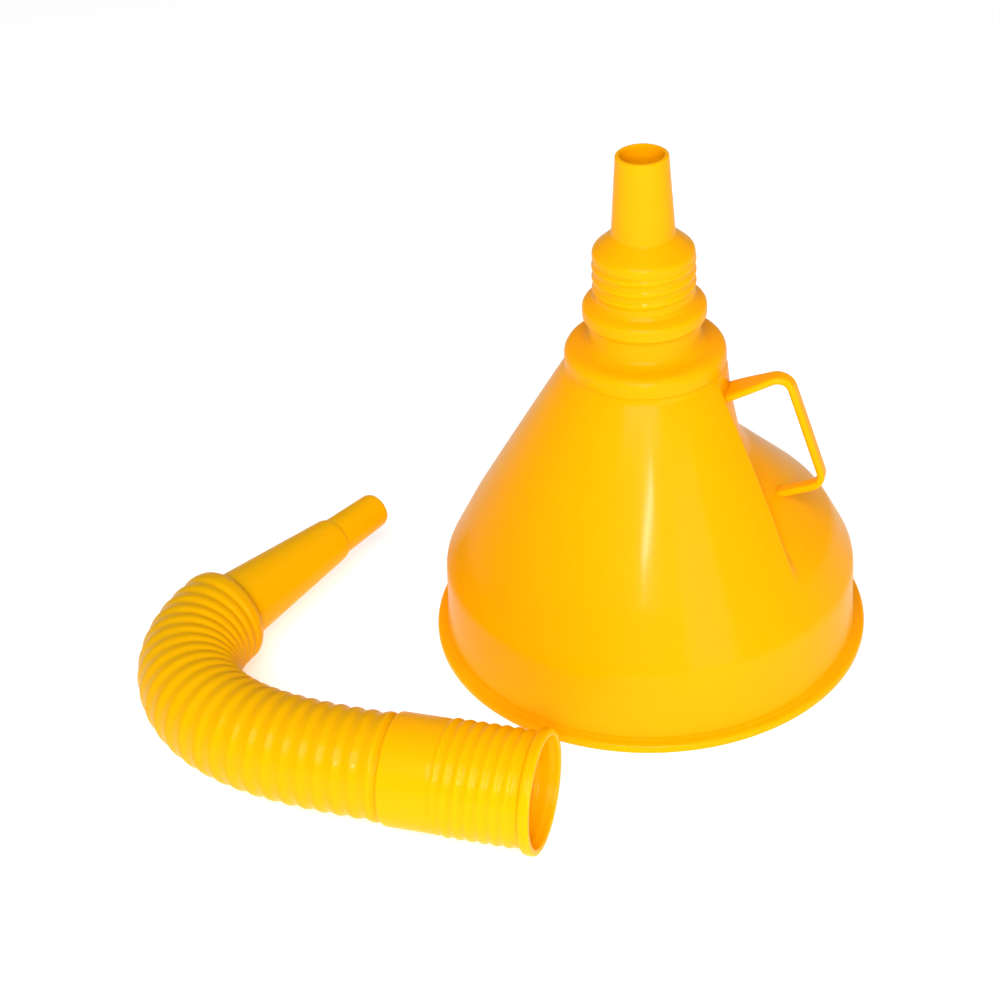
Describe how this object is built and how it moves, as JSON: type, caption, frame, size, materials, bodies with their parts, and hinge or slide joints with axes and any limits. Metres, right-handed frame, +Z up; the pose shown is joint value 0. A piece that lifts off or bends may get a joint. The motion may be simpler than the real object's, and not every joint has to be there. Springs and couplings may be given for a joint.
{
  "type": "funnel",
  "caption": "Wide pouring funnel on its mouth, with a threaded stepped neck, strap handle and strainer, and a loose bellows spout with a screw socket.",
  "frame": {"origin": "on the bowl's axis, in the plane of the mouth's rim that the funnel stands on", "axes": "+Z up to the nozzle, +X towards the strap handle, +Y away from the loose spout"},
  "size_m": [0.2469, 0.2285, 0.1899],
  "materials": {
    "bowl_yellow": "glossy moulded polyethylene",
    "spout_yellow": "glossy blow-moulded polyethylene",
    "strainer_yellow": "glossy moulded polyethylene",
    "gauze": "fine woven gauze"
  },
  "bodies": {
    "funnel": {"funnel_body": "bowl_yellow", "carry_handle": "bowl_yellow"},
    "strainer": {"strainer_frame": "strainer_yellow", "strainer_gauze": "gauze"},
    "spout": {"spout_socket": "spout_yellow"},
    "ring_01": {"spout_ring_01": "spout_yellow"},
    "ring_02": {"spout_ring_02": "spout_yellow"},
    "ring_03": {"spout_ring_03": "spout_yellow"},
    "ring_04": {"spout_ring_04": "spout_yellow"},
    "ring_05": {"spout_ring_05": "spout_yellow"},
    "ring_06": {"spout_ring_06": "spout_yellow"},
    "ring_07": {"spout_ring_07": "spout_yellow"},
    "ring_08": {"spout_ring_08": "spout_yellow"},
    "ring_09": {"spout_ring_09": "spout_yellow"},
    "ring_10": {"spout_ring_10": "spout_yellow"},
    "ring_11": {"spout_ring_11": "spout_yellow"},
    "ring_12": {"spout_ring_12": "spout_yellow"},
    "ring_13": {"spout_ring_13": "spout_yellow"},
    "ring_14": {"spout_ring_14": "spout_yellow"},
    "ring_15": {"spout_ring_15": "spout_yellow"},
    "ring_16": {"spout_ring_16": "spout_yellow"},
    "ring_17": {"spout_ring_17": "spout_yellow"},
    "ring_18": {"spout_ring_18": "spout_yellow"},
    "ring_19": {"spout_ring_19": "spout_yellow"},
    "ring_20": {"spout_ring_20": "spout_yellow"},
    "ring_21": {"spout_ring_21": "spout_yellow"},
    "ring_22": {"spout_ring_22": "spout_yellow"},
    "nozzle": {"spout_nozzle": "spout_yellow"}
  },
  "joints": [
    {"name": "strainer_pull", "type": "slide", "parent": "funnel", "child": "strainer", "axis": [0, 0, -1], "range_m": [0, 0.09]},
    {"name": "spout_lift", "type": "slide", "parent": "funnel", "child": "spout", "axis": [0, 0, 1], "range_m": [0, 0.12]},
    {"name": "spout_bend_01", "type": "hinge", "parent": "spout", "child": "ring_01", "pos_m": [-0.0645, -0.1273, 0.02116], "axis": [0, 0, 1], "range_deg": [0, 0.5472]},
    {"name": "spout_bend_02", "type": "hinge", "parent": "ring_01", "child": "ring_02", "pos_m": [-0.07031, -0.12725, 0.02116], "axis": [0, 0, 1], "range_deg": [0, 0.7538]},
    {"name": "spout_bend_03", "type": "hinge", "parent": "ring_02", "child": "ring_03", "pos_m": [-0.07612, -0.12712, 0.02116], "axis": [0, 0, 1], "range_deg": [0, 1.02]},
    {"name": "spout_bend_04", "type": "hinge", "parent": "ring_03", "child": "ring_04", "pos_m": [-0.08192, -0.12689, 0.02116], "axis": [0, 0, 1], "range_deg": [0, 1.35]},
    {"name": "spout_bend_05", "type": "hinge", "parent": "ring_04", "child": "ring_05", "pos_m": [-0.08772, -0.12652, 0.02116], "axis": [0, 0, 1], "range_deg": [0, 1.76]},
    {"name": "spout_bend_06", "type": "hinge", "parent": "ring_05", "child": "ring_06", "pos_m": [-0.09351, -0.12599, 0.02116], "axis": [0, 0, 1], "range_deg": [0, 2.24]},
    {"name": "spout_bend_07", "type": "hinge", "parent": "ring_06", "child": "ring_07", "pos_m": [-0.09927, -0.12522, 0.02116], "axis": [0, 0, 1], "range_deg": [0, 2.8]},
    {"name": "spout_bend_08", "type": "hinge", "parent": "ring_07", "child": "ring_08", "pos_m": [-0.10498, -0.12418, 0.02116], "axis": [0, 0, 1], "range_deg": [0, 3.42]},
    {"name": "spout_bend_09", "type": "hinge", "parent": "ring_08", "child": "ring_09", "pos_m": [-0.11063, -0.1228, 0.02116], "axis": [0, 0, 1], "range_deg": [0, 4.09]},
    {"name": "spout_bend_10", "type": "hinge", "parent": "ring_09", "child": "ring_10", "pos_m": [-0.11616, -0.12102, 0.02116], "axis": [0, 0, 1], "range_deg": [0, 4.79]},
    {"name": "spout_bend_11", "type": "hinge", "parent": "ring_10", "child": "ring_11", "pos_m": [-0.12152, -0.11879, 0.02116], "axis": [0, 0, 1], "range_deg": [0, 5.5]},
    {"name": "spout_bend_12", "type": "hinge", "parent": "ring_11", "child": "ring_12", "pos_m": [-0.12665, -0.11606, 0.02116], "axis": [0, 0, 1], "range_deg": [0, 6.17]},
    {"name": "spout_bend_13", "type": "hinge", "parent": "ring_12", "child": "ring_13", "pos_m": [-0.13145, -0.11279, 0.02116], "axis": [0, 0, 1], "range_deg": [0, 6.78]},
    {"name": "spout_bend_14", "type": "hinge", "parent": "ring_13", "child": "ring_14", "pos_m": [-0.13584, -0.10898, 0.02116], "axis": [0, 0, 1], "range_deg": [0, 7.29]},
    {"name": "spout_bend_15", "type": "hinge", "parent": "ring_14", "child": "ring_15", "pos_m": [-0.13971, -0.10465, 0.02116], "axis": [0, 0, 1], "range_deg": [0, 7.68]},
    {"name": "spout_bend_16", "type": "hinge", "parent": "ring_15", "child": "ring_16", "pos_m": [-0.14297, -0.09983, 0.02116], "axis": [0, 0, 1], "range_deg": [0, 7.91]},
    {"name": "spout_bend_17", "type": "hinge", "parent": "ring_16", "child": "ring_17", "pos_m": [-0.14553, -0.09462, 0.02116], "axis": [0, 0, 1], "range_deg": [0, 7.96]},
    {"name": "spout_bend_18", "type": "hinge", "parent": "ring_17", "child": "ring_18", "pos_m": [-0.14735, -0.0891, 0.02116], "axis": [0, 0, 1], "range_deg": [0, 7.88]},
    {"name": "spout_bend_19", "type": "hinge", "parent": "ring_18", "child": "ring_19", "pos_m": [-0.1484, -0.08339, 0.02116], "axis": [0, 0, 1], "range_deg": [0, 7.61]},
    {"name": "spout_bend_20", "type": "hinge", "parent": "ring_19", "child": "ring_20", "pos_m": [-0.14868, -0.07759, 0.02116], "axis": [0, 0, 1], "range_deg": [0, 7.2]},
    {"name": "spout_bend_21", "type": "hinge", "parent": "ring_20", "child": "ring_21", "pos_m": [-0.14823, -0.07179, 0.02116], "axis": [0, 0, 1], "range_deg": [0, 6.67]},
    {"name": "spout_bend_22", "type": "hinge", "parent": "ring_21", "child": "ring_22", "pos_m": [-0.14712, -0.06609, 0.02116], "axis": [0, 0, 1], "range_deg": [0, 6.04]},
    {"name": "spout_bend_23", "type": "hinge", "parent": "ring_22", "child": "nozzle", "pos_m": [-0.14542, -0.06054, 0.02116], "axis": [0, 0, 1], "range_deg": [0, 5.36]}
  ],
  "couplings": [
    {"joint": "spout_bend_01", "follows": "spout_bend_17", "ratio": 0.06622},
    {"joint": "spout_bend_02", "follows": "spout_bend_17", "ratio": 0.09219},
    {"joint": "spout_bend_03", "follows": "spout_bend_17", "ratio": 0.1256},
    {"joint": "spout_bend_04", "follows": "spout_bend_17", "ratio": 0.16748},
    {"joint": "spout_bend_05", "follows": "spout_bend_17", "ratio": 0.21859},
    {"joint": "spout_bend_06", "follows": "spout_bend_17", "ratio": 0.27922},
    {"joint": "spout_bend_07", "follows": "spout_bend_17", "ratio": 0.34911},
    {"joint": "spout_bend_08", "follows": "spout_bend_17", "ratio": 0.4272},
    {"joint": "spout_bend_09", "follows": "spout_bend_17", "ratio": 0.51167},
    {"joint": "spout_bend_10", "follows": "spout_bend_17", "ratio": 0.5998},
    {"joint": "spout_bend_11", "follows": "spout_bend_17", "ratio": 0.68818},
    {"joint": "spout_bend_12", "follows": "spout_bend_17", "ratio": 0.77281},
    {"joint": "spout_bend_13", "follows": "spout_bend_17", "ratio": 0.8494},
    {"joint": "spout_bend_14", "follows": "spout_bend_17", "ratio": 0.91374},
    {"joint": "spout_bend_15", "follows": "spout_bend_17", "ratio": 0.96208},
    {"joint": "spout_bend_16", "follows": "spout_bend_17", "ratio": 0.99145},
    {"joint": "spout_bend_18", "follows": "spout_bend_17", "ratio": 0.9872},
    {"joint": "spout_bend_19", "follows": "spout_bend_17", "ratio": 0.95385},
    {"joint": "spout_bend_20", "follows": "spout_bend_17", "ratio": 0.90205},
    {"joint": "spout_bend_21", "follows": "spout_bend_17", "ratio": 0.83493},
    {"joint": "spout_bend_22", "follows": "spout_bend_17", "ratio": 0.75639},
    {"joint": "spout_bend_23", "follows": "spout_bend_17", "ratio": 0.67067}
  ]
}
